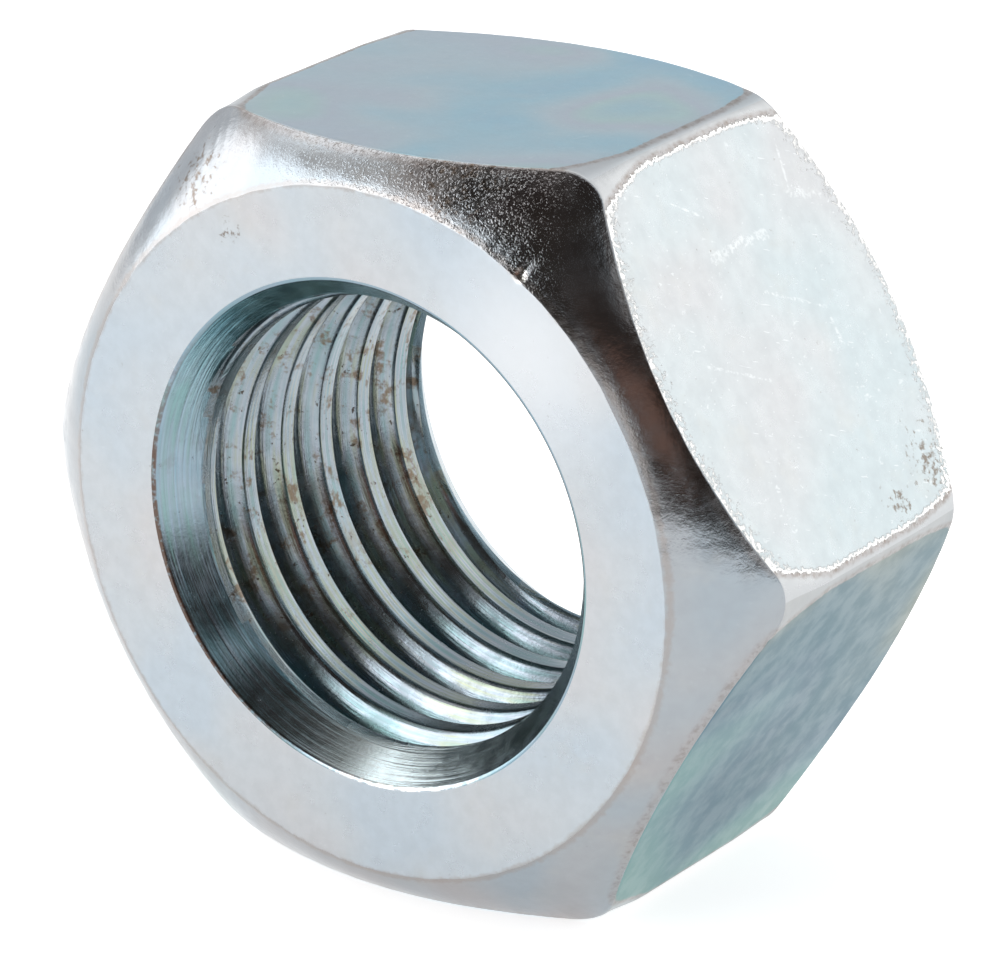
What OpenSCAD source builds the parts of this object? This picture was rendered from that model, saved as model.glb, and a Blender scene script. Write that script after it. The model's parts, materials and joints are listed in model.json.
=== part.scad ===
// Hex nut with a right-hand coarse metric thread, one piece of cold-formed steel.
//
// Frame: millimetres. The thread axis lies along Y, with one bearing face towards -Y and the
// other towards +Y. The nut stands on one of its six flats, +Z up. The origin is on the thread
// axis, half-way between the two bearing faces.

/* [Body] */
// Width across the flats, the wrench size
across_flats = 30; // [29:0.1:32]
// Thickness between the two bearing faces
thickness = 17.6; // [16:0.1:20]
// Radius of the six edges between the flats
edge_r = 0.9; // [0.3:0.1:2]
// Diameter of the flat round bearing face on each side
face_d = 27.4; // [25:0.1:28.5]
// Angle between a bearing face and the chamfer around it
chamfer_angle = 42; // [20:1:50]

/* [Thread] */
// Nominal (major) diameter of the thread
thread_d = 20; // [18:0.1:20]
// Axial distance between neighbouring turns
pitch = 2.5; // [2:0.5:2.5]
// Diameter over the crest lands, which is the drilled bore
minor_d = 17.7; // [17.3:0.05:17.74]
// Angle between the two flanks of a groove
flank_angle = 60; // [55:1:60]
// Angle of the first groove about the axis, which sets where the turns fall
start_angle = 76; // [0:1:359]

/* [Countersinks] */
// Diameter of the countersink where it meets a bearing face
sink_d = 20.1; // [20.1:0.1:21.6]
// Full angle of the countersink cone
sink_angle = 70; // [60:5:120]

/* [Hidden] */
$fn = 96;
steps_per_turn = 36;
cut_past = 1;                                    // how far a cutting tool runs past the body

flat_r = across_flats / 2;                       // apothem of the hexagon
edge_centre_r = (flat_r - edge_r) / cos(30);     // axis to the centre of an edge's rounding
corner_r = edge_centre_r + edge_r;               // axis to the outside of an edge
face_r = face_d / 2;
chamfer_out_r = corner_r + cut_past;
chamfer_h = (chamfer_out_r - face_r) * tan(chamfer_angle);

bore_r = minor_d / 2;
sink_r = sink_d / 2;
sink_depth = (sink_r - bore_r) / tan(sink_angle / 2);
sink_slope = tan(sink_angle / 2);

root_r = thread_d / 2;
root_w = pitch / 8;                              // width of the groove's flat root
groove_in_r = bore_r - 0.35;                     // the groove cutter's inner side, in open bore
groove_w = root_w + 2 * (root_r - groove_in_r) * tan(flank_angle / 2);
turns = ceil(thickness / pitch) + 2;
groove_steps = turns * steps_per_turn;

// Six flats with the edges between them rounded: straight sides, plus a round at each corner.
module hex_outline() {
    side_ends = [
        for (k = [0:5], side = [-30, 30])
            edge_centre_r * [cos(60 * k), sin(60 * k)]
                + edge_r * [cos(60 * k + side), sin(60 * k + side)]
    ];
    polygon(side_ends);
    for (k = [0:5])
        rotate(60 * k)
            translate([edge_centre_r, 0])
                circle(r = edge_r);
}

// The round envelope that turns both ends down to the bearing faces.
module chamfer_envelope() {
    rotate_extrude()
        polygon([
            [0, 0],
            [face_r, 0],
            [chamfer_out_r, chamfer_h],
            [chamfer_out_r, thickness - chamfer_h],
            [face_r, thickness],
            [0, thickness]
        ]);
}

// A cone that opens towards z = 0, as deep as the wall of the bore.
module countersink() {
    translate([0, 0, -cut_past])
        cylinder(
            h = sink_depth + cut_past,
            r1 = sink_r + cut_past * sink_slope,
            r2 = bore_r
        );
}

// One cross-section of the groove cutter at a step along the helix, as four points.
function groove_section(step) =
    let (
        angle = start_angle + 360 * step / steps_per_turn,
        z = pitch * (step / steps_per_turn - 1),
        side = [cos(angle), sin(angle)],
        near = groove_in_r * side,
        far = root_r * side
    )
    [
        [near[0], near[1], z - groove_w / 2],
        [far[0], far[1], z - root_w / 2],
        [far[0], far[1], z + root_w / 2],
        [near[0], near[1], z + groove_w / 2]
    ];

// The helical groove, swept section by section and closed at both ends.
module thread_groove() {
    points = [for (step = [0:groove_steps]) each groove_section(step)];
    last = 4 * groove_steps;
    sides = [
        for (step = [0:groove_steps - 1], k = [0:3])
            let (here = 4 * step, next = here + 4, turn = (k + 1) % 4)
                each [
                    [here + k, here + turn, next + turn],
                    [here + k, next + turn, next + k]
                ]
    ];
    ends = [[3, 2, 1, 0], [last, last + 1, last + 2, last + 3]];
    polyhedron(points = points, faces = concat(sides, ends), convexity = 20);
}

module nut_body() {
    color([0.74, 0.78, 0.81])
        rotate([-90, 0, 0])
            translate([0, 0, -thickness / 2])
                difference() {
                    intersection() {
                        linear_extrude(thickness)
                            hex_outline();
                        chamfer_envelope();
                    }
                    translate([0, 0, -cut_past])
                        cylinder(h = thickness + 2 * cut_past, r = bore_r);
                    countersink();
                    translate([0, 0, thickness])
                        mirror([0, 0, 1])
                            countersink();
                    thread_groove();
                }
}

nut_body();
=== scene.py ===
import json
import math

import bpy
import numpy as np
from mathutils import Matrix, Vector, noise

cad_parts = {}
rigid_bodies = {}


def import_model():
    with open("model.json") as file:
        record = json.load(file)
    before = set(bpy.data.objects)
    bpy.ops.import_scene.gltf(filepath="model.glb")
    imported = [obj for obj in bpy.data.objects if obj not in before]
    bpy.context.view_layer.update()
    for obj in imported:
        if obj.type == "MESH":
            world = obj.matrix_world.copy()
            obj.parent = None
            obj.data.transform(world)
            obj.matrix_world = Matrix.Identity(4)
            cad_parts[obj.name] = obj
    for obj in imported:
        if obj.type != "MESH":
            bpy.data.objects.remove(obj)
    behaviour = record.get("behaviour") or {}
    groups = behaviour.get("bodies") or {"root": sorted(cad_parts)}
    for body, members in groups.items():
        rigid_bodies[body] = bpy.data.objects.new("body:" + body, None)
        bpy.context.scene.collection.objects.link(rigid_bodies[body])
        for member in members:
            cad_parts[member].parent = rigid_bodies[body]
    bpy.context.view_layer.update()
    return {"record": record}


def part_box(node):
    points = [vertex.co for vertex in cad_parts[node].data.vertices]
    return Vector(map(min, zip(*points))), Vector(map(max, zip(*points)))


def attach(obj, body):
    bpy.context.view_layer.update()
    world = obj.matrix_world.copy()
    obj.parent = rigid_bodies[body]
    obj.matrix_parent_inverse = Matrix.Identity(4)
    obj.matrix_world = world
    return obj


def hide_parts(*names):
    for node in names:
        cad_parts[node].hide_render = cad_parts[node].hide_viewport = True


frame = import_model()
print("stage: frame loaded")

mm = 0.001
nutLow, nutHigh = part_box("nut_body")
halfThick = (nutHigh.y - nutLow.y) / 2
flatDistance = (nutHigh.z - nutLow.z) / 2        # axis to each of the six flats
threadMount = [m for m in frame["record"]["mounts"] if m["name"] == "thread"][0]
boreRadius = threadMount["dims"]["r_mm"] * mm


# small helpers

def makeActive(piece):
    for thing in bpy.context.view_layer.objects:
        thing.select_set(False)
    piece.select_set(True)
    bpy.context.view_layer.objects.active = piece


def roundedMax(a, b, width):
    return 0.5 * (a + b + np.sqrt((a - b) ** 2 + width ** 2))


def roundedMin(a, b, width):
    return -roundedMax(-a, -b, width)


def bump(x, width):
    return np.exp(-(x / width) ** 2)


def turnFrom(angle, degrees):
    # difference from a direction, in degrees between -180 and 180
    return np.mod(np.degrees(angle) - degrees + 180, 360) - 180


def softNoise(x, y, z):
    x, y, z = np.broadcast_arrays(x, y, z)
    values = [noise.noise(Vector(p)) for p in zip(x.ravel(), y.ravel(), z.ravel())]
    return np.array(values).reshape(x.shape)


# the camera

cameraView = {
    "azimuth": 35.65,        # degrees to the right of the thread axis
    "elevation": 20.6,
    "roll": -1.1,
    "distance": 231 * mm,
    "lens": 214.9,
    "aimRight": 0.05 * mm,
    "aimUp": -0.685 * mm,
}


def addCamera(view):
    azimuth = math.radians(view["azimuth"])
    elevation = math.radians(view["elevation"])
    roll = math.radians(view["roll"])
    back = Vector((
        math.sin(azimuth) * math.cos(elevation),
        -math.cos(azimuth) * math.cos(elevation),
        math.sin(elevation),
    ))
    level = Vector((math.cos(azimuth), math.sin(azimuth), 0))
    upright = back.cross(level)
    right = level * math.cos(roll) + upright * math.sin(roll)
    up = upright * math.cos(roll) - level * math.sin(roll)
    aim = right * view["aimRight"] + up * view["aimUp"]
    data = bpy.data.cameras.new("camera")
    data.sensor_width = 36
    data.sensor_fit = "HORIZONTAL"
    data.lens = view["lens"]
    data.clip_start = 0.01
    data.clip_end = 20
    camera = bpy.data.objects.new("camera", data)
    bpy.context.scene.collection.objects.link(camera)
    turn = Matrix((right, up, back)).transposed().to_4x4()
    camera.matrix_world = Matrix.Translation(aim + back * view["distance"]) @ turn
    bpy.context.scene.camera = camera


addCamera(cameraView)
print("stage: camera")


# the outside of the nut: bearing faces, chamfers and flats

outside = {
    "lipRadius": 10.45 * mm,        # where the outside meets the bore's lip
    "faceRadius": 13.7 * mm,        # edge of the bearing face
    "chamferAngle": 42,
    "chamferCrown": 6,              # degrees that the chamfer turns either side of that angle
    "cornerRound": 0.9 * mm,        # radius of the six edges between flats
    "cornerEndRound": (2.3 * mm, 1.4 * mm),    # the same where they meet the front and back chamfer
    "cornerEndLength": 2.6 * mm,
    "faceEdgeRound": 0.16 * mm,
    "flatEdgeRound": 0.4 * mm,
    "sharpFlatRound": 0.16 * mm,    # the upper right flat has a sharper, burred edge
    "faceNarrowing": (26, 26, 0.22 * mm),    # the face edge runs in a little here: angle, spread, depth
    "faceEdgeWander": 0.06 * mm,    # how unevenly the face edge runs
    "flatEdgeWander": 0.05 * mm,
    "unevenness": 0.014 * mm,       # slow waviness of faces and flats
    "faceDent": (57.8, 0.35 * mm, 0.10 * mm),    # angle, width and depth of a dent on the face edge
}

bore = {
    "lipRadius": 10.35 * mm,
    "mouthRadius": 10.05 * mm,
    "mouthRound": 0.2 * mm,
    "sinkHalfAngle": 35,            # countersink wall against the thread axis
    "majorRadius": 10 * mm,
    "pitch": 2.5 * mm,
    "flankHalfAngle": 30,
    "startAngle": 76,               # where a groove passes the front face
    "crestRound": 0.09 * mm,
    "rootRound": 0.12 * mm,
    "runOut": (1.15 * mm, 1.9 * mm),    # depths between which the thread reaches full depth
}

nutMesh = {
    "columns": 432,                 # steps of the spin
    "crowding": 0.6,                # how far the steps crowd towards the six corners
}

flatNames = ["upperRightFlat", "topFlat", "upperLeftFlat", "lowerLeftFlat", "bottomFlat",
             "lowerRightFlat"]
zones = ["bearingFace", "chamfer", *flatNames, "countersink", "thread"]


def hexRadius(angle, cornerRound):
    fromFlat = np.abs(np.mod(angle, math.pi / 3) - math.pi / 6)
    centre = (flatDistance - cornerRound) / math.cos(math.pi / 6)
    tangent = math.atan2((flatDistance - cornerRound) * math.tan(math.pi / 6), flatDistance)
    onFlat = flatDistance / np.cos(fromFlat)
    fromCorner = math.pi / 6 - fromFlat
    across = np.clip(cornerRound ** 2 - (centre * np.sin(fromCorner)) ** 2, 0, None)
    onCorner = centre * np.cos(fromCorner) + np.sqrt(across)
    return np.where(fromFlat > tangent, onCorner, onFlat)


def filletRows(corner, angleIn, turn, radius, count):
    # a fillet at a corner of the section, entered along angleIn and turning left
    ahead = np.array([math.cos(angleIn), math.sin(angleIn)])
    left = np.array([-ahead[1], ahead[0]])
    back = radius * math.tan(turn / 2)
    rows = []
    for step in np.linspace(0, turn, count):
        away = radius * math.sin(step) - back
        rise = radius * (1 - math.cos(step))
        rows.append((corner[0] + ahead[0] * away + left[0] * rise,
                     corner[1] + ahead[1] * away + left[1] * rise))
    return rows


def edgeWander(angle, amount, side):
    x, z = np.cos(angle), np.sin(angle)
    slow = softNoise(x * 2.1, z * 2.1, side * 3.7)
    quick = softNoise(x * 14, z * 14, side * 5.1)
    fine = softNoise(x * 55, z * 55, side * 2.3)
    return amount * (1.1 * slow + 0.6 * quick + 0.3 * fine)


def outsideRows(angle, sizes, side):
    # half a section for every column: from the lip over face and chamfer to mid-flat
    endRound = sizes["cornerEndRound"][side - 1]
    endRadius = hexRadius(angle, endRound)
    midRadius = hexRadius(angle, sizes["cornerRound"])
    slope = math.radians(sizes["chamferAngle"])
    crown = math.radians(sizes["chamferCrown"])
    middle, spread, narrower = sizes["faceNarrowing"]
    faceEdge = sizes["faceRadius"] + edgeWander(angle, sizes["faceEdgeWander"], side)
    faceEdge = faceEdge - narrower * bump(turnFrom(angle, middle), spread) * (2 - side)
    front = np.full_like(angle, -halfThick)
    flatStart = front + (endRadius - sizes["faceRadius"]) * math.tan(slope)
    flatStart = flatStart + edgeWander(angle, sizes["flatEdgeWander"], side + 9)
    slope = np.arctan2(flatStart - front, endRadius - faceEdge)
    sharp = bump(turnFrom(angle, 30), 26)
    flatRound = sizes["flatEdgeRound"] + (sizes["sharpFlatRound"] - sizes["flatEdgeRound"]) * sharp
    faceArc = []
    flatArc = []
    for edge, y, hexR, lean, flatR in zip(faceEdge, flatStart, endRadius, slope, flatRound):
        faceArc.append(filletRows((edge, -halfThick), 0, lean - crown, sizes["faceEdgeRound"], 5))
        flatArc.append(filletRows((hexR, y), lean + crown, math.pi / 2 - lean - crown, flatR, 7))
    faceArc = np.array(faceArc).transpose(1, 2, 0)
    flatArc = np.array(flatArc).transpose(1, 2, 0)

    rows = []
    segments = []           # zone of the strip that follows each row
    lip = sizes["lipRadius"] + 0 * angle
    for step in (0, 0.2, 0.45, 0.7, 0.87, 0.96):
        rows.append((lip + (faceArc[0][0] - lip) * step, front))
        segments.append("bearingFace")
    for k, (r, y) in enumerate(faceArc):
        rows.append((r, y))
        segments.append("bearingFace" if k < 2 else "chamfer")
    wide, deep = flatArc[0] - faceArc[-1]
    for step in (0.04, 0.2, 0.4, 0.6, 0.8, 0.96):
        swell = 2 * step * (1 - step) * math.tan(crown)      # the chamfer is a little crowned
        rows.append((faceArc[-1][0] + wide * step + deep * swell,
                     faceArc[-1][1] + deep * step - wide * swell))
        segments.append("chamfer")
    for k, (r, y) in enumerate(flatArc):
        rows.append((r, y))
        segments.append("chamfer" if k < 3 else "flat")
    for step in (0.015, 0.04, 0.08, 0.13, 0.2, 0.28, 0.37, 0.46, 0.56, 0.66, 0.77, 0.88, 1):
        y = flatArc[-1][1] * (1 - step)
        far = np.clip((y - flatArc[-1][1]) / sizes["cornerEndLength"], 0, 1)
        far = far * far * (3 - 2 * far)
        rows.append((endRadius + (midRadius - endRadius) * far, y))
        segments.append("flat")

    # signed distance from the border of the flat, positive on the flat
    fromFlat = np.abs(np.mod(angle, math.pi / 3) - math.pi / 6)
    inset = []
    rimInset = []           # the same, stretched for a burr that is widest on the chamfer side
    for r, y in rows:
        far = np.clip((y - flatArc[-1][1]) / sizes["cornerEndLength"], 0, 1)
        cornerRound = endRound + (sizes["cornerRound"] - endRound) * far
        halfWidth = (flatDistance - cornerRound) * math.tan(math.pi / 6)
        across = halfWidth - flatDistance * np.tan(fromFlat)
        inset.append(roundedMin(y - flatStart, across, 0.5 * mm) + 0.1 * mm)
        rimInset.append(roundedMin(0.28 * (y - flatStart), 1.5 * across, 0.4 * mm) + 0.10 * mm)
    return rows, segments[:-1], inset, rimInset


def grooveDepth(offset, sizes):
    # depth of the thread below the crest lands, by distance from the groove's middle
    depth = sizes["majorRadius"] - boreRadius
    slope = math.tan(math.radians(sizes["flankHalfAngle"]))
    rootHalf = sizes["pitch"] / 16
    wall = (rootHalf + depth * slope - np.abs(offset)) / slope
    wall = roundedMin(wall, depth, sizes["rootRound"])
    return roundedMax(wall, 0, sizes["crestRound"])


def grooveOffsets(sizes):
    # where the rows of one turn lie, close together at the corners of the groove
    pitch = sizes["pitch"]
    slope = math.tan(math.radians(sizes["flankHalfAngle"]))
    root = pitch / 16
    flank = (sizes["majorRadius"] - boreRadius) * slope
    half = [0, root]
    half += [root + flank * step for step in (0.15, 0.38, 0.64, 0.87, 1)]
    half += [root + flank + 0.06 * mm, root + flank + 0.17 * mm]
    return sorted([-x for x in half[1:]] + half + [pitch / 2])


def boreRows(angle, sizes):
    # the whole bore for every column, from the front lip to the back lip
    pitch = sizes["pitch"]
    lean = math.radians(sizes["sinkHalfAngle"])
    arc = filletRows((-sizes["mouthRadius"], -halfThick), 0, math.pi / 2 - lean,
                     sizes["mouthRound"], 6)
    lipRows = [(sizes["lipRadius"], -halfThick)]
    lipRows += [((sizes["lipRadius"] - arc[0][0]) / 2, -halfThick)]
    lipRows += [(-r, y) for r, y in arc]
    turns = range(-1, int(2 * halfThick / pitch) + 3)
    offsets = grooveOffsets(sizes)
    start = -math.radians(sizes["startAngle"])
    climb = -pitch * (angle - start) / (2 * math.pi)      # a right-hand helix
    wallTop = lipRows[-1][1] + 0.02 * mm
    rows = [(r + 0 * angle, y + 0 * angle) for r, y in lipRows]
    place = [0.3 * mm + 0 * angle] * len(rows)
    sink = [1 + 0 * angle] * len(rows)
    shallow, full = sizes["runOut"]
    for turn in turns:
        for offset in offsets:
            middle = turn * pitch + offset - halfThick + climb
            along = np.clip(middle, wallTop, -wallTop)
            inGroove = np.mod(along - climb + halfThick + pitch / 2, pitch) - pitch / 2
            inGroove = np.where(middle == along, offset, inGroove)
            deep = np.clip((halfThick - np.abs(along) - shallow) / (full - shallow), 0, 1)
            wall = boreRadius + grooveDepth(inGroove, sizes) * deep * deep * (3 - 2 * deep)
            cone = sizes["mouthRadius"] - (halfThick - np.abs(along)) * math.tan(lean)
            rows.append((roundedMax(wall, cone, 0.03 * mm), along))
            place.append(np.abs(inGroove))
            sink.append(1 / (1 + np.exp(-(cone - wall) / (0.02 * mm))))
    rows += [(r + 0 * angle, -y + 0 * angle) for r, y in lipRows[::-1]]
    place += [0.3 * mm + 0 * angle] * len(lipRows)
    sink += [1 + 0 * angle] * len(lipRows)
    lipBand = [0.0, 0.3] + [1.0] * (len(lipRows) - 3) + [0.6]
    lipBand = lipBand + [0.0] * (len(rows) - 2 * len(lipRows)) + lipBand[::-1]
    return rows, place, sink, lipBand


def spinRing(name, rows, columns):
    # a closed chain of points in the XY plane, spun round the thread axis
    chain = [(i, (i + 1) % len(rows)) for i in range(len(rows))]
    mesh = bpy.data.meshes.new(name)
    mesh.from_pydata([(r, y, 0) for r, y in rows], chain, [])
    piece = bpy.data.objects.new(name, mesh)
    bpy.context.scene.collection.objects.link(piece)
    makeActive(piece)
    bpy.ops.object.mode_set(mode="EDIT")
    bpy.ops.mesh.select_all(action="SELECT")
    bpy.ops.mesh.spin(steps=columns, angle=2 * math.pi, center=(0, 0, 0), axis=(0, 1, 0),
                      use_auto_merge=False)
    bpy.ops.object.mode_set(mode="OBJECT")
    return piece


def keepAttribute(piece, name, values):
    layer = piece.data.attributes.new(name, "FLOAT", "POINT")
    layer.data.foreach_set("value", np.ascontiguousarray(values.T).ravel())


def unevenNut(radius, along, angle, outsideCount):
    # slow waviness inwards, and the dent on the edge of the front face
    x, z = radius * np.cos(angle) / mm, radius * np.sin(angle) / mm
    places = (x[:outsideCount], along[:outsideCount] / mm, z[:outsideCount])
    slow = softNoise(*[part * 0.22 for part in places])
    quick = softNoise(*[part * 0.9 for part in places])
    wave = outside["unevenness"] * (slow + 0.35 * quick + 0.75)
    flatness = np.clip((radius[:outsideCount] - 14.5 * mm) / (0.5 * mm), 0, 1)
    radius[:outsideCount] -= wave * flatness
    ring = np.clip((radius[:outsideCount] - 11 * mm) / mm, 0, 1) * (1 - flatness)
    along[:outsideCount] -= np.sign(along[:outsideCount]) * wave * ring
    where, width, depth = outside["faceDent"]
    turn = math.radians(where)
    edge = outside["faceRadius"] + 0.1 * mm
    away = np.sqrt((x * mm - edge * math.cos(turn)) ** 2 + (z * mm - edge * math.sin(turn)) ** 2)
    dent = bump(away, width * 0.6) - 0.25 * bump(away - width, width * 0.3)
    along += np.where((along < -0.8 * halfThick), depth * np.clip(dent, 0, 1), 0)
    np.clip(along, -halfThick, halfThick, out=along)


def makeNut(mesh):
    columns = mesh["columns"]
    angle = np.linspace(0, 2 * math.pi, columns + 1)
    angle = angle - mesh["crowding"] * np.sin(6 * angle) / 6
    front, frontZones, frontInset, frontRim = outsideRows(angle, outside, 1)
    back, backZones, backInset, backRim = outsideRows(angle, outside, 2)
    hole, groovePlace, sink, lipBand = boreRows(angle, bore)
    rows = front + [(r, -y) for r, y in back[-2::-1]] + hole[::-1]
    inset = frontInset + backInset[-2::-1] + [0 * angle - 3 * mm] * len(hole)
    rimInset = frontRim + backRim[-2::-1] + [0 * angle - 3 * mm] * len(hole)
    outsideCount = len(rows) - len(hole)
    segments = frontZones + backZones[::-1] + ["bearingFace"]
    segments += ["bearingFace"] * 2 + ["countersink"] * (len(hole) - 5) + ["bearingFace"] * 3
    none = [0 * angle] * outsideCount
    groovePlace = np.array(none + groovePlace[::-1])
    sink = np.array(none + sink[::-1])
    lipBand = np.array(none + [value + 0 * angle for value in lipBand[::-1]])

    radius = np.array([r for r, y in rows])
    along = np.array([y for r, y in rows])
    faceInset = (outside["faceRadius"] - radius) / mm
    unevenNut(radius, along, angle, outsideCount)
    rowCount = len(rows)
    blank = [(0.02 + 0.00001 * i, 0.00001 * i) for i in range(rowCount)]
    nut = spinRing("nutSolid", blank, columns)
    points = np.stack([radius * np.cos(angle), along, radius * np.sin(angle)], -1)
    nut.data.vertices.foreach_set("co", points.transpose(1, 0, 2).ravel())
    keepAttribute(nut, "flatInset", np.array(inset) / mm)
    keepAttribute(nut, "rimInset", np.array(rimInset) / mm)
    keepAttribute(nut, "faceInset", faceInset)
    keepAttribute(nut, "groovePlace", groovePlace / mm)
    keepAttribute(nut, "sinkPart", sink)
    keepAttribute(nut, "lipBand", lipBand)

    # material slots by place
    for name in zones:
        nut.data.materials.append(zincFinish[name])
    slots = []
    for face in nut.data.polygons:
        rowsHere = [v % rowCount for v in face.vertices]
        row = min(rowsHere)
        if row == 0 and max(rowsHere) == rowCount - 1:
            row = rowCount - 1
        name = segments[row]
        column = min(v // rowCount for v in face.vertices)
        if name == "flat":
            name = flatNames[int(6 * (column + 0.5) / columns)]
        if name == "countersink" and sink[row][column] < 0.5:
            name = "thread"
        slots.append(zones.index(name))
    nut.data.polygons.foreach_set("material_index", slots)
    nut.data.update()

    makeActive(nut)
    bpy.ops.object.mode_set(mode="EDIT")
    bpy.ops.mesh.select_all(action="SELECT")
    bpy.ops.mesh.remove_doubles(threshold=0.0015 * mm)
    bpy.ops.mesh.dissolve_degenerate(threshold=0.001 * mm)
    bpy.ops.mesh.normals_make_consistent(inside=False)
    bpy.ops.object.mode_set(mode="OBJECT")
    bpy.ops.object.shade_smooth()
    return nut


# shader helpers

def addNode(tree, kind, **settings):
    node = tree.nodes.new("ShaderNode" + kind)
    for name, value in settings.items():
        setattr(node, name, value)
    return node


def plug(tree, socket, value):
    if isinstance(value, bpy.types.NodeSocket):
        tree.links.new(value, socket)
    elif isinstance(value, tuple) and len(value) == 3 and socket.type == "RGBA":
        socket.default_value = (*value, 1)
    else:
        socket.default_value = value


def mathOf(tree, operation, first, second=0.0, third=None):
    node = addNode(tree, "Math", operation=operation)
    plug(tree, node.inputs[0], first)
    plug(tree, node.inputs[1], second)
    if third is not None:
        plug(tree, node.inputs[2], third)
    return node.outputs[0]


def rangeOf(tree, value, low, high, toLow=0.0, toHigh=1.0):
    node = addNode(tree, "MapRange", interpolation_type="SMOOTHSTEP")
    plug(tree, node.inputs["Value"], value)
    for name, number in (("From Min", low), ("From Max", high), ("To Min", toLow), ("To Max", toHigh)):
        plug(tree, node.inputs[name], number)
    return node.outputs["Result"]


def mixOf(tree, amount, first, second, blend="MIX"):
    node = addNode(tree, "Mix", data_type="RGBA", blend_type=blend)
    plug(tree, node.inputs["Factor"], amount)
    plug(tree, node.inputs[6], first)
    plug(tree, node.inputs[7], second)
    return node.outputs[2]


def noiseOf(tree, place, scale, detail=3.0, roughness=0.55, distortion=0.0):
    node = addNode(tree, "TexNoise")
    plug(tree, node.inputs["Vector"], place)
    for name, number in (("Scale", scale), ("Detail", detail), ("Roughness", roughness),
                         ("Distortion", distortion)):
        node.inputs[name].default_value = number
    return node.outputs["Fac"]


def rampOf(tree, value, stops):
    node = addNode(tree, "ValToRGB")
    plug(tree, node.inputs["Fac"], value)
    elements = node.color_ramp.elements
    while len(elements) < len(stops):
        elements.new(0.5)
    for element, (position, colour) in zip(elements, stops):
        element.position = position
        element.color = (*colour, 1)
    return node.outputs["Color"]


def attributeOf(tree, name):
    return addNode(tree, "Attribute", attribute_name=name).outputs["Fac"]


def placeOf(tree, stretch=(1, 1, 1), turn=(0, 0, 0), shift=(0, 0, 0)):
    # object coordinates in millimetres, stretched and turned for a pattern
    where = addNode(tree, "TexCoord").outputs["Object"]
    scaled = addNode(tree, "Mapping")
    plug(tree, scaled.inputs["Vector"], where)
    scaled.inputs["Scale"].default_value = (1000, 1000, 1000)
    if stretch == (1, 1, 1) and turn == (0, 0, 0) and shift == (0, 0, 0):
        return scaled.outputs[0]
    turned = addNode(tree, "Mapping")
    plug(tree, turned.inputs["Vector"], scaled.outputs[0])
    turned.inputs["Rotation"].default_value = [math.radians(a) for a in turn]
    turned.inputs["Location"].default_value = shift
    pulled = addNode(tree, "Mapping")
    plug(tree, pulled.inputs["Vector"], turned.outputs[0])
    pulled.inputs["Scale"].default_value = stretch
    return pulled.outputs[0]


def bumpOf(tree, height, depth, normal=None):
    # depth is in millimetres for a height from 0 to 1
    node = addNode(tree, "Bump")
    node.inputs["Distance"].default_value = depth * mm
    node.inputs["Strength"].default_value = 1
    plug(tree, node.inputs["Height"], height)
    if normal is not None:
        plug(tree, node.inputs["Normal"], normal)
    return node.outputs["Normal"]


def newMaterial(name):
    material = bpy.data.materials.new(name)
    material.use_nodes = True
    material.node_tree.nodes.clear()
    return material


def metalOutput(tree, colour, roughness, normal):
    shader = addNode(tree, "BsdfPrincipled")
    out = addNode(tree, "OutputMaterial")
    shader.inputs["Metallic"].default_value = 1
    plug(tree, shader.inputs["Base Color"], colour)
    plug(tree, shader.inputs["Roughness"], roughness)
    plug(tree, shader.inputs["Normal"], normal)
    tree.links.new(shader.outputs["BSDF"], out.inputs["Surface"])


def streaks(tree, length, width, turn, least, shift):
    # thin straight marks: a pattern pulled long in one direction, only its peaks kept
    place = placeOf(tree, stretch=(1 / length, 1 / width, 1 / width), turn=turn, shift=shift)
    return rangeOf(tree, noiseOf(tree, place, 1.0, 1.5, 0.5), least, least + 0.05)


def directionPart(tree, where, axis, name):
    part = addNode(tree, "VectorMath", operation="DOT_PRODUCT", label=name)
    plug(tree, part.inputs[0], where)
    part.inputs[1].default_value = axis
    return part.outputs["Value"]


def longMark(tree, start, end, width):
    # a ragged mark between two places on the upper right flat
    tilt = math.radians(30)         # the flat faces this far above the level
    middle = Vector((math.cos(tilt), 0, math.sin(tilt))) * (flatDistance / mm)
    upward = Vector((-math.sin(tilt), 0, math.cos(tilt)))
    ends = [middle + upward * up + Vector((0, back, 0)) for up, back in (start, end)]
    step = ends[1] - ends[0]
    wobble = noiseOf(tree, placeOf(tree), 2.2, 4, 0.7)
    fromStart = addNode(tree, "VectorMath", operation="SUBTRACT")
    plug(tree, fromStart.inputs[0], placeOf(tree))
    fromStart.inputs[1].default_value = ends[0]
    part = directionPart(tree, fromStart.outputs[0], step / step.length_squared, "part of the mark")
    part = mathOf(tree, "MINIMUM", mathOf(tree, "MAXIMUM", part, 0.0), 1.0)
    foot = addNode(tree, "VectorMath", operation="SCALE")
    foot.inputs[0].default_value = step
    plug(tree, foot.inputs["Scale"], part)
    away = addNode(tree, "VectorMath", operation="DISTANCE")
    plug(tree, away.inputs[0], fromStart.outputs[0])
    plug(tree, away.inputs[1], foot.outputs[0])
    ragged = mathOf(tree, "MULTIPLY_ADD", wobble, -4 * width, 2 * width)
    away = mathOf(tree, "ADD", away.outputs["Value"], ragged)
    mark = rangeOf(tree, away, width * 0.4, width, 1.0, 0.0)
    gaps = rangeOf(tree, noiseOf(tree, placeOf(tree, shift=(5, 5, 5)), 4.5, 4, 0.7), 0.40, 0.60)
    return mathOf(tree, "MULTIPLY", mark, gaps)


def nearPoint(tree, point, reach):
    # 1 at a place given in millimetres, fading to 0 at reach
    away = addNode(tree, "VectorMath", operation="DISTANCE")
    plug(tree, away.inputs[0], placeOf(tree))
    away.inputs[1].default_value = point
    return rangeOf(tree, away.outputs["Value"], 0.0, reach, 1.0, 0.0)


# finishes of the outside: blue-white zinc with its film colours and grime, and painted reflections,
# highlights and a sheen on its edges and face

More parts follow.
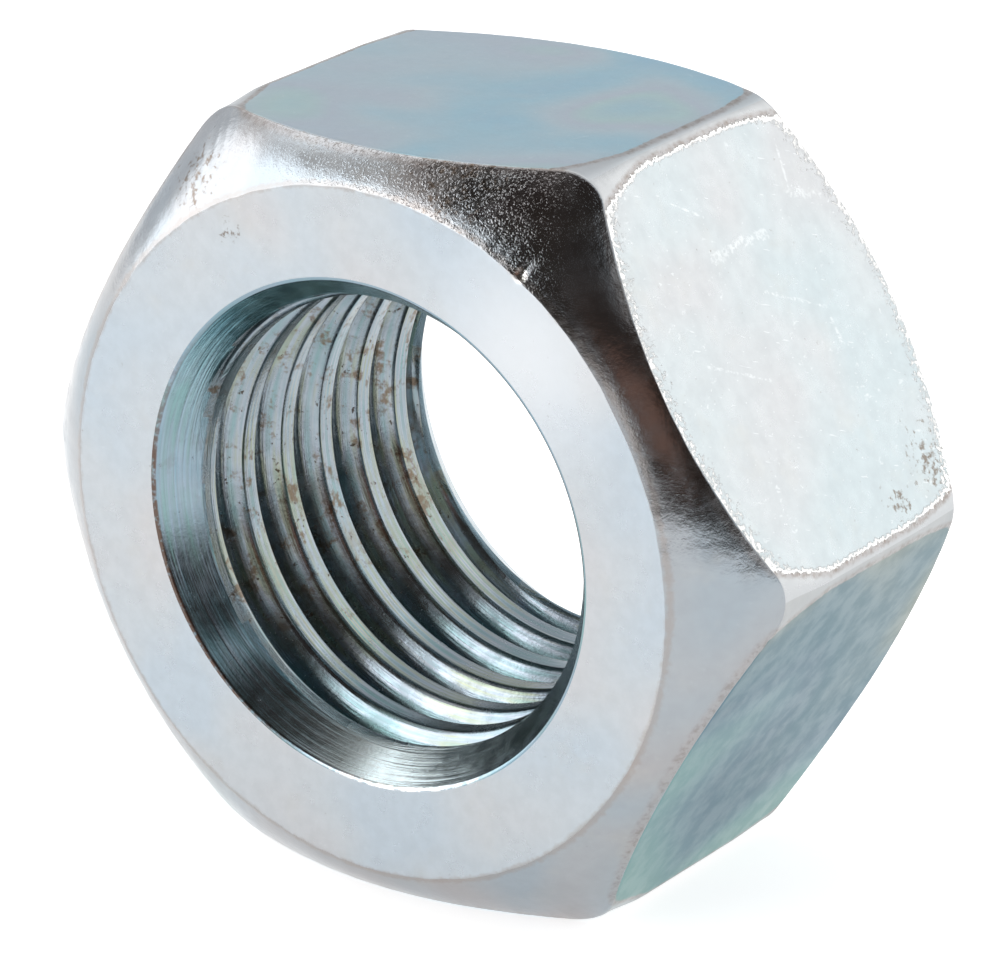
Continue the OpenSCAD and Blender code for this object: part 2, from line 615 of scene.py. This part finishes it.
paleFilm = [(0.35, (0.58, 0.66, 0.73)), (0.5, (0.62, 0.67, 0.71)), (0.65, (0.65, 0.66, 0.68))]
skyFilm = [(0.30, (0.36, 0.57, 0.70)), (0.40, (0.40, 0.60, 0.70)), (0.48, (0.49, 0.61, 0.68)),
           (0.54, (0.50, 0.58, 0.66)), (0.60, (0.47, 0.63, 0.65)), (0.70, (0.38, 0.58, 0.69))]
tealFilm = [(0.20, (0.25, 0.42, 0.41)), (0.32, (0.22, 0.38, 0.39)), (0.42, (0.18, 0.30, 0.35)),
            (0.50, (0.14, 0.24, 0.30)), (0.62, (0.125, 0.235, 0.285)), (0.72, (0.17, 0.27, 0.31)),
            (0.84, (0.31, 0.35, 0.31))]

outsideLooks = {
    "bearingFace": {
        "film": paleFilm,
        "filmScale": 0.16,
        "cloud": 0.12,
        "lightness": 0.77,
        "roughness": (0.27, 0.38),
        "peel": (1.1, 0.010),
        "grain": (9.0, 0.0020),
        "scratches": 0.25,
        "specks": 0.0,
        # painted sheen: the face is painted paler round this place: middle, reach, amount
        "paintedSheen": ((7.6, -8.8, 8.6), 6.0, 0.8),
        "stains": [((-5.96, -8.8, 11.03), 1.1)],
        "faceEdge": (7.35, -8.75, 11.7),        # where a painted glint whitens the knocked dent on the face edge
    },
    "chamfer": {
        "film": [(0.35, (0.42, 0.48, 0.53)), (0.5, (0.46, 0.49, 0.52)), (0.65, (0.48, 0.47, 0.48))],
        "filmScale": 0.2,
        "cloud": 0.12,
        "lightness": 0.78,
        "roughness": (0.12, 0.22),
        "peel": (4.0, 0.007),
        "grain": (14.0, 0.003),
        "sparkle": (0.001, 0.010, (2.5, -7.6, 14.4), 11.5),
        "scratches": 0.1,
        "specks": 0.0,
        "stains": [((4.0, -7.6, 14.4), 4.5), ((-8.0, -7.8, 12.6), 3.0)],
        "faceEdge": (7.35, -8.75, 11.7),        # where a painted glint whitens the knocked dent on the face edge
        "flatBorder": 0.5,
    },
    "upperRightFlat": {
        "film": [(0.35, (0.57, 0.645, 0.675)), (0.5, (0.60, 0.655, 0.68)), (0.65, (0.61, 0.63, 0.65))],
        "filmScale": 0.16,
        "cloud": 0.12,
        "lightness": 0.90,
        "roughness": (0.26, 0.38),
        "peel": (1.2, 0.018),
        "grain": (6.0, 0.007),
        "scratches": 1.0,
        # long scratches and scuffed spots: places up and back from the flat's middle, half width
        "longMarks": [((2, 0.5), (0.5, 3.5), 0.08), ((0, 3.5), (-1, 3.5), 0.12),
                      ((0.5, -4.5), (-1, -1.5), 0.08), ((7, 5), (5, 4.5), 0.07),
                      ((6.5, -2.5), (5.5, -1), 0.07), ((4, -1.5), (4, 2), 0.24),
                      ((5, 4.5), (4.5, 6), 0.28)],
        "specks": 0.02,
        "stains": [((16.1, 5.4, 2.0), 2.4), ((16.6, 2.5, 1.2), 1.4)],
        "corner": 0.85,
        "flatBorder": 0.8,
        "paintedRimHighlight": 0.95,
    },
    "topFlat": {
        "film": skyFilm,
        "filmScale": 0.12,
        "cloud": 0.06,
        "lightness": 0.98,
        "roughness": (0.30, 0.42),
        "peel": (0.8, 0.010),
        "grain": (8.0, 0.0020),
        "scratches": 0.22,
        "specks": -0.03,
        "stains": [],
        "corner": 0.85,
        "flatBorder": 0.8,
    },
    "lowerRightFlat": {
        "film": tealFilm,
        "filmScale": 0.10,
        "cloud": 0.03,
        "filmSlope": (0.0175, 0.012, 0.0303),    # the film's colours follow each other this way
        "lightness": 0.86,
        "roughness": (0.32, 0.44),
        "peel": (0.8, 0.010),
        "grain": (8.0, 0.0020),
        "scratches": 0.02,
        "specks": -0.03,
        "stains": [],
        "corner": 0.85,
        "flatBorder": 0.6,
    },
}
outsideLooks["bottomFlat"] = outsideLooks["topFlat"]
# painted shade: the upper left flat wears the top flat's finish painted darker, at about half its lightness
outsideLooks["upperLeftFlat"] = {**outsideLooks["topFlat"], "lightness": 0.45, "cloud": 0.03}
outsideLooks["lowerLeftFlat"] = {**outsideLooks["lowerRightFlat"],
                                 "filmSlope": (-0.0175, 0.012, 0.0303)}


def outsideZinc(name, look):
    material = newMaterial(name + "Zinc")
    tree = material.node_tree
    place = placeOf(tree)
    ragged = mathOf(tree, "MULTIPLY_ADD", noiseOf(tree, placeOf(tree, shift=(4, 4, 4)), 2.6, 5, 0.68),
                    1.1, -0.55)
    slow = noiseOf(tree, placeOf(tree, shift=(11, 5, 2)), look["filmScale"], 1.3, 0.4, 0.3)
    if "filmSlope" in look:
        slow = mathOf(tree, "ADD", slow, directionPart(tree, place, look["filmSlope"], "film slope"))
    colour = rampOf(tree, slow, look["film"])
    cloud = noiseOf(tree, place, 1.6, 5, 0.6)
    colour = mixOf(tree, rangeOf(tree, cloud, 0.3, 0.7, 0.0, look["cloud"]), colour, (0.30, 0.31, 0.33))
    brown = noiseOf(tree, placeOf(tree, shift=(1, 9, 6)), 0.55, 4, 0.6)
    colour = mixOf(tree, rangeOf(tree, brown, 0.52, 0.75, 0.0, look["cloud"] * 1.3), colour,
                   (0.62, 0.60, 0.55))
    # painted sheen: a soft paler patch on the face near the upper right of the hole
    if "paintedSheen" in look:
        point, reach, amount = look["paintedSheen"]
        colour = mixOf(tree, mathOf(tree, "MULTIPLY", nearPoint(tree, point, reach), amount), colour,
                       (0.84, 0.87, 0.90))

    speck = noiseOf(tree, placeOf(tree, shift=(3, 8, 4)), 3.4, 6, 0.68)
    level = mathOf(tree, "ADD", speck, look["specks"])
    for point, reach in look["stains"]:
        level = mathOf(tree, "MULTIPLY_ADD", nearPoint(tree, point, reach), 0.2, level)
    colour = mixOf(tree, rangeOf(tree, level, 0.67, 0.80, 0.0, 0.8), colour, (0.19, 0.14, 0.10))

    scratch = mathOf(tree, "MAXIMUM",
                     streaks(tree, 12.0, 0.15, (10, 20, 48), 0.70, (2, 3, 4)),
                     streaks(tree, 9.0, 0.14, (0, -35, 115), 0.71, (8, 1, 6)))
    patch = rangeOf(tree, noiseOf(tree, placeOf(tree, shift=(3, 3, 9)), 0.3, 2), 0.5, 0.62)
    scuff = noiseOf(tree, placeOf(tree, stretch=(1, 0.6, 1)), 3.6, 4, 0.6)
    scuff = mathOf(tree, "MULTIPLY", patch, rangeOf(tree, scuff, 0.60, 0.72))
    scratch = mathOf(tree, "MAXIMUM", scratch, scuff)
    for start, end, width in look.get("longMarks", []):
        scratch = mathOf(tree, "MAXIMUM", scratch, longMark(tree, start, end, width))
    colour = mixOf(tree, mathOf(tree, "MULTIPLY", scratch, look["scratches"] * 0.45), colour,
                   (0.86, 0.9, 0.92))

    peelScale, peelDepth = look["peel"]
    grainScale, grainDepth = look["grain"]
    normal = bumpOf(tree, noiseOf(tree, place, peelScale, 3, 0.5), peelDepth)
    normal = bumpOf(tree, noiseOf(tree, place, grainScale, 3, 0.6), grainDepth, normal)
    if "sparkle" in look:
        least, most, point, reach = look["sparkle"]
        pits = rangeOf(tree, noiseOf(tree, placeOf(tree, shift=(9, 2, 7)), 12.0, 2, 0.55), 0.50, 0.80)
        strength = rangeOf(tree, nearPoint(tree, point, reach), 0.1, 0.9, least / most, 1.0)
        normal = bumpOf(tree, mathOf(tree, "MULTIPLY", pits, strength), most, normal)
    normal = bumpOf(tree, scratch, -0.004 * look["scratches"], normal)

    if "faceEdge" in look:
        edge = mathOf(tree, "ABSOLUTE", mathOf(tree, "ADD", attributeOf(tree, "faceInset"), 0.05))
        edge = mathOf(tree, "ADD", edge, mathOf(tree, "MULTIPLY", ragged, 0.45))
        colour = mixOf(tree, rangeOf(tree, edge, 0.02, 0.22, 0.45, 0.0), colour, (0.40, 0.34, 0.30))
        # painted glint: a small white spot at the dent on the face edge
        paintedGlint = rangeOf(tree, nearPoint(tree, look["faceEdge"], 0.62), 0.35, 0.65)
        colour = mixOf(tree, paintedGlint, colour, (0.96, 0.96, 0.95))
    if "flatBorder" in look:
        inset = attributeOf(tree, "flatInset")
        edge = mathOf(tree, "ADD", inset, mathOf(tree, "MULTIPLY", ragged, 0.26))
        # painted reflection: the rounded corners between the flats are painted a darker grey, for the
        # darker room they mirror
        if "corner" in look:
            paintedReflection = rangeOf(tree, edge, -0.05, 0.08, look["corner"], 0.0)
            colour = mixOf(tree, paintedReflection, colour, (0.57, 0.585, 0.60))
        band = mathOf(tree, "MULTIPLY", rangeOf(tree, edge, 0.0, 0.1, 1.0, 0.0),
                      rangeOf(tree, edge, -0.36, -0.10))
        grime = mixOf(tree, rangeOf(tree, speck, 0.42, 0.66), (0.46, 0.44, 0.44), (0.27, 0.22, 0.19))
        colour = mixOf(tree, mathOf(tree, "MULTIPLY", band, look["flatBorder"]), colour, grime)
    # painted highlight: a ragged white line along the burred rim of the upper right flat, with a small bump
    if "paintedRimHighlight" in look:
        teeth = noiseOf(tree, placeOf(tree, shift=(3, 1, 2)), 4.5, 3, 0.7)
        edge = mathOf(tree, "ADD", attributeOf(tree, "rimInset"),
                      mathOf(tree, "MULTIPLY_ADD", teeth, 0.8, -0.40))
        ridge = mathOf(tree, "MULTIPLY", rangeOf(tree, edge, -0.12, -0.04),
                       rangeOf(tree, edge, 0.06, 0.22, 1.0, 0.0))
        colour = mixOf(tree, mathOf(tree, "MULTIPLY", ridge, look["paintedRimHighlight"]), colour,
                       (0.96, 0.96, 0.95))
        normal = bumpOf(tree, ridge, 0.03, normal)

    gloss = noiseOf(tree, placeOf(tree, shift=(2, 6, 8)), 0.9, 4, 0.6)
    roughness = rangeOf(tree, gloss, 0.35, 0.65, *look["roughness"])
    colour = mixOf(tree, 1.0, colour, (look["lightness"],) * 3, "MULTIPLY")
    metalOutput(tree, colour, roughness, normal)
    return material


# finishes of the bore: cut metal under a thin teal film, with tool marks

boreLooks = {
    "countersink": {
        "film": [(0.30, (0.16, 0.32, 0.37)), (0.42, (0.22, 0.35, 0.42)), (0.52, (0.29, 0.37, 0.45)),
                 (0.62, (0.22, 0.35, 0.36)), (0.72, (0.16, 0.31, 0.32))],
        "roughness": (0.19, 0.26),
        "marks": (5.0, 0.012),
        "fineMarks": (16.0, 0.005),
        "stain": 0.1,
        "rust": 0.15,
        # painted highlights, places of the countersink painted brighter: middle, reach, amount, colour
        "paintedReflection": [((2.2, -8.0, -9.4), 10.0, 1.0, (0.74, 0.87, 0.91)),
                   ((-3.0, -8.0, 9.0), 11.0, 0.9, (0.42, 0.74, 0.80))],
    },
    "thread": {
        "film": [(0.30, (0.19, 0.34, 0.34)), (0.40, (0.23, 0.33, 0.36)), (0.50, (0.35, 0.39, 0.45)),
                 (0.58, (0.32, 0.35, 0.27)), (0.68, (0.20, 0.33, 0.32))],
        "roughness": (0.18, 0.28),
        "marks": (6.0, 0.014),
        "fineMarks": (18.0, 0.006),
        "stain": 0.6,
        "rust": 0.9,
    },
}


# where the bore is stained, where its lip is painted dark brown and where a highlight is painted on its
# lip, in millimetres
boreStainsAndPaintedHighlight = {
    "stainedSide": (-8.5, -3.0),                # full at the first place across the nut, none at the second
    "stainedHeights": (-8.0, 2.0),              # full at the first height, hardly any above the second
    "lipDarkStretch": ((-9.6, -8.8, -4.0), 13.0),      # middle and reach of the stretch of the lip painted dark brown
    "lipPaintedHighlight": ((1.6, -8.8, -10.2), 5.5),      # the same for the stretch of the lip with a painted white highlight
}


def toolMarks(tree, scale, spread):
    # lines that follow the cut: round the axis in the countersink, along the helix in the thread
    place = placeOf(tree)
    split = addNode(tree, "SeparateXYZ")
    plug(tree, split.inputs[0], place)
    sinkPart = attributeOf(tree, "sinkPart")
    across = mathOf(tree, "ADD", mathOf(tree, "MULTIPLY", sinkPart, split.outputs["Y"]),
                    mathOf(tree, "MULTIPLY", mathOf(tree, "SUBTRACT", 1.0, sinkPart),
                           attributeOf(tree, "groovePlace")))
    joined = addNode(tree, "CombineXYZ")
    plug(tree, joined.inputs[0], mathOf(tree, "MULTIPLY", across, scale))
    plug(tree, joined.inputs[1], mathOf(tree, "MULTIPLY", split.outputs["X"], spread))
    plug(tree, joined.inputs[2], mathOf(tree, "MULTIPLY", split.outputs["Z"], spread))
    return noiseOf(tree, joined.outputs[0], 1.0, 2, 0.6)


def boreZinc(name, look):
    material = newMaterial(name + "Zinc")
    tree = material.node_tree
    place = placeOf(tree)
    marks = toolMarks(tree, look["marks"][0], 0.12)
    fine = toolMarks(tree, look["fineMarks"][0], 0.2)
    slow = noiseOf(tree, placeOf(tree, shift=(5, 1, 7)), 0.25, 3, 0.5)
    film = mathOf(tree, "MULTIPLY_ADD", marks, 0.5, mathOf(tree, "MULTIPLY", slow, 0.5))
    colour = rampOf(tree, film, look["film"])
    colour = mixOf(tree, rangeOf(tree, fine, 0.35, 0.65, 0.0, 0.45), colour, (0.20, 0.27, 0.29))

    split = addNode(tree, "SeparateXYZ")
    plug(tree, split.inputs[0], place)
    side = rangeOf(tree, split.outputs["X"], *boreStainsAndPaintedHighlight["stainedSide"], 1.0, 0.0)
    low = rangeOf(tree, split.outputs["Z"], *boreStainsAndPaintedHighlight["stainedHeights"], 1.0, 0.1)
    low = mathOf(tree, "MULTIPLY", side, low)
    stain = noiseOf(tree, placeOf(tree, shift=(6, 2, 3)), 0.9, 5, 0.65)
    stain = mathOf(tree, "MULTIPLY", rangeOf(tree, stain, 0.42, 0.66, 0.0, look["stain"]), low)
    colour = mixOf(tree, stain, colour, (0.24, 0.22, 0.17))
    speck = noiseOf(tree, placeOf(tree, shift=(2, 6, 9)), 3.2, 5, 0.66)
    level = mathOf(tree, "MULTIPLY_ADD", side, 0.07, speck)
    level = mathOf(tree, "MULTIPLY_ADD", stain, 0.05, level)
    rust = rangeOf(tree, level, 0.69, 0.76, 0.0, look["rust"])
    spread = noiseOf(tree, placeOf(tree, shift=(7, 7, 3)), 1.1, 5, 0.7)
    spread = mathOf(tree, "MULTIPLY", rangeOf(tree, spread, 0.53, 0.66, 0.0, look["rust"]), side)
    colour = mixOf(tree, spread, colour, (0.15, 0.11, 0.075))
    # painted highlights: parts of the countersink away from the lip are painted brighter
    for point, reach, amount, bright in look.get("paintedReflection", []):
        here = mathOf(tree, "MULTIPLY", nearPoint(tree, point, reach),
                      rangeOf(tree, attributeOf(tree, "lipBand"), 0.0, 0.5, amount, 0.0))
        colour = mixOf(tree, here, colour, bright)
    colour = mixOf(tree, rust, colour, (0.11, 0.08, 0.055))

    lipBand = attributeOf(tree, "lipBand")
    # the lip is painted dark brown along its lower left stretch
    lipDarkening = mathOf(tree, "MULTIPLY", nearPoint(tree, *boreStainsAndPaintedHighlight["lipDarkStretch"]),
                   rangeOf(tree, speck, 0.35, 0.6, 0.3, 1.6))
    lipDarkening = mathOf(tree, "MULTIPLY", lipBand, mathOf(tree, "MINIMUM", lipDarkening, 1.0))
    colour = mixOf(tree, lipDarkening, colour, (0.13, 0.095, 0.08))
    # painted highlight: a broken white line along the lip at the bottom of the mouth
    paintedReflection = mathOf(tree, "MULTIPLY", lipBand, nearPoint(tree, *boreStainsAndPaintedHighlight["lipPaintedHighlight"]))
    paintedReflection = mathOf(tree, "MULTIPLY", paintedReflection, rangeOf(tree, speck, 0.40, 0.56, 0.25, 1.0))
    colour = mixOf(tree, paintedReflection, colour, (0.93, 0.93, 0.92))

    normal = bumpOf(tree, marks, look["marks"][1])
    normal = bumpOf(tree, fine, look["fineMarks"][1], normal)
    normal = bumpOf(tree, noiseOf(tree, place, 7.0, 3, 0.6), 0.004, normal)
    gloss = noiseOf(tree, placeOf(tree, shift=(2, 6, 8)), 1.2, 4, 0.6)
    roughness = mathOf(tree, "ADD", rangeOf(tree, gloss, 0.35, 0.65, *look["roughness"]),
                       mathOf(tree, "MULTIPLY", rust, 0.35))
    metalOutput(tree, colour, roughness, normal)
    return material


zincFinish = {name: outsideZinc(name, look) for name, look in outsideLooks.items()}
zincFinish.update({name: boreZinc(name, look) for name, look in boreLooks.items()})
print("stage: finishes")

nut = makeNut(nutMesh)
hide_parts("nut_body")
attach(nut, "root")
print("stage: nut", len(nut.data.polygons), "faces")


# floor, room and lamps

studio = {
    "floorSize": 1.6,
    "floorShade": 0.76,
    "floorGlow": 0.64,
    # a black card on the floor: direction, nearest, farthest, half spread
    "darkCard": (47, 0.24, 0.60, 28),
    "roomLight": 1.1,
    "roomColour": (1.0, 1.0, 1.0),
    # azimuth and elevation of the middle, half width and half height, soft edge, light
    "patches": [
        ("back left wall", -144, 33, 40, 25, 9, (0.60, 0.62, 0.64)),
        ("left wall", -108, 8, 14, 30, 6, (0.84, 0.85, 0.87)),
        ("back right wall", 141, 18, 34, 30, 10, (1.40, 1.39, 1.37)),
        ("dim ceiling, left", -75, 56, 42, 22, 6, (0.85, 0.78, 0.73)),
        ("lamp, far left", -98, 50, 13, 12, 4, (2.0, 2.0, 2.0)),
        ("dark room, above", 13, 50, 29, 34, 7, (0.040, 0.032, 0.028)),
        ("dark room, right", 47, 14, 25, 27, 5, (0.046, 0.036, 0.031)),
        ("brown glow in the dark", 38, 17, 12, 9, 6, (0.27, 0.16, 0.125)),
        ("left soft box", -52, 15, 34, 19, 4, (2.6, 2.6, 2.6)),
        ("front soft box", -31, 28, 16, 8, 3, (3.4, 3.4, 3.4)),
    ],
}


def addFloor(settings):
    bpy.ops.mesh.primitive_plane_add(size=settings["floorSize"], location=(0, 0, nutLow.z))
    floor = bpy.context.object
    floor.name = "floor"
    material = newMaterial("floorWhite")
    tree = material.node_tree
    shader = addNode(tree, "BsdfPrincipled")
    out = addNode(tree, "OutputMaterial")
    shade = settings["floorShade"]
    shader.inputs["Base Color"].default_value = (shade, shade, shade, 1)
    shader.inputs["Roughness"].default_value = 0.9
    shader.inputs["Specular IOR Level"].default_value = 0.1
    shader.inputs["Emission Color"].default_value = (1, 1, 1, 1)
    shader.inputs["Emission Strength"].default_value = settings["floorGlow"]
    tree.links.new(shader.outputs["BSDF"], out.inputs["Surface"])
    floor.data.materials.append(material)


def addDarkCard(settings):
    # a black card low on the floor, well outside the camera's frame, for the chamfer to mirror
    direction, nearest, farthest, spread = settings["darkCard"]
    ring = []
    for radius in (nearest, farthest):
        for step in np.linspace(-spread, spread, 9):
            turn = math.radians(direction + step)
            ring.append((radius * math.sin(turn), -radius * math.cos(turn), nutLow.z + 0.0005))
    mesh = bpy.data.meshes.new("darkCard")
    mesh.from_pydata(ring, [], [(i, i + 1, i + 10, i + 9) for i in range(8)])
    card = bpy.data.objects.new("darkCard", mesh)
    bpy.context.scene.collection.objects.link(card)
    material = newMaterial("cardBlack")
    tree = material.node_tree
    shader = addNode(tree, "BsdfPrincipled")
    out = addNode(tree, "OutputMaterial")
    shader.inputs["Base Color"].default_value = (0.03, 0.027, 0.025, 1)
    shader.inputs["Roughness"].default_value = 0.9
    tree.links.new(shader.outputs["BSDF"], out.inputs["Surface"])
    card.data.materials.append(material)


def addRoom(settings):
    world = bpy.data.worlds.new("room")
    world.use_nodes = True
    tree = world.node_tree
    tree.nodes.clear()
    where = addNode(tree, "TexCoord").outputs["Generated"]
    colour = settings["roomColour"]
    for name, azimuth, elevation, halfWide, halfHigh, soft, light in settings["patches"]:
        turn, rise = math.radians(azimuth), math.radians(elevation)
        across = (math.cos(turn), math.sin(turn), 0)
        up = (-math.sin(turn) * math.sin(rise), math.cos(turn) * math.sin(rise), math.cos(rise))
        toward = (math.sin(turn) * math.cos(rise), -math.cos(turn) * math.cos(rise), math.sin(rise))
        amount = rangeOf(tree, directionPart(tree, where, toward, name), 0.0, 0.1)
        for axis, half in ((across, halfWide), (up, halfHigh)):
            part = mathOf(tree, "ABSOLUTE", directionPart(tree, where, axis, name))
            inner, outer = math.sin(math.radians(half - soft)), math.sin(math.radians(half + soft))
            amount = mathOf(tree, "MULTIPLY", amount, rangeOf(tree, part, inner, outer, 1.0, 0.0))
        colour = mixOf(tree, amount, colour, light)
    glow = addNode(tree, "Background")
    plug(tree, glow.inputs["Color"], colour)
    glow.inputs["Strength"].default_value = settings["roomLight"]
    out = addNode(tree, "OutputWorld")
    tree.links.new(glow.outputs["Background"], out.inputs["Surface"])
    bpy.context.scene.world = world


addFloor(studio)
addDarkCard(studio)
addRoom(studio)
bpy.context.scene.view_settings.view_transform = "Standard"
bpy.context.scene.view_settings.look = "None"
print("stage: studio")
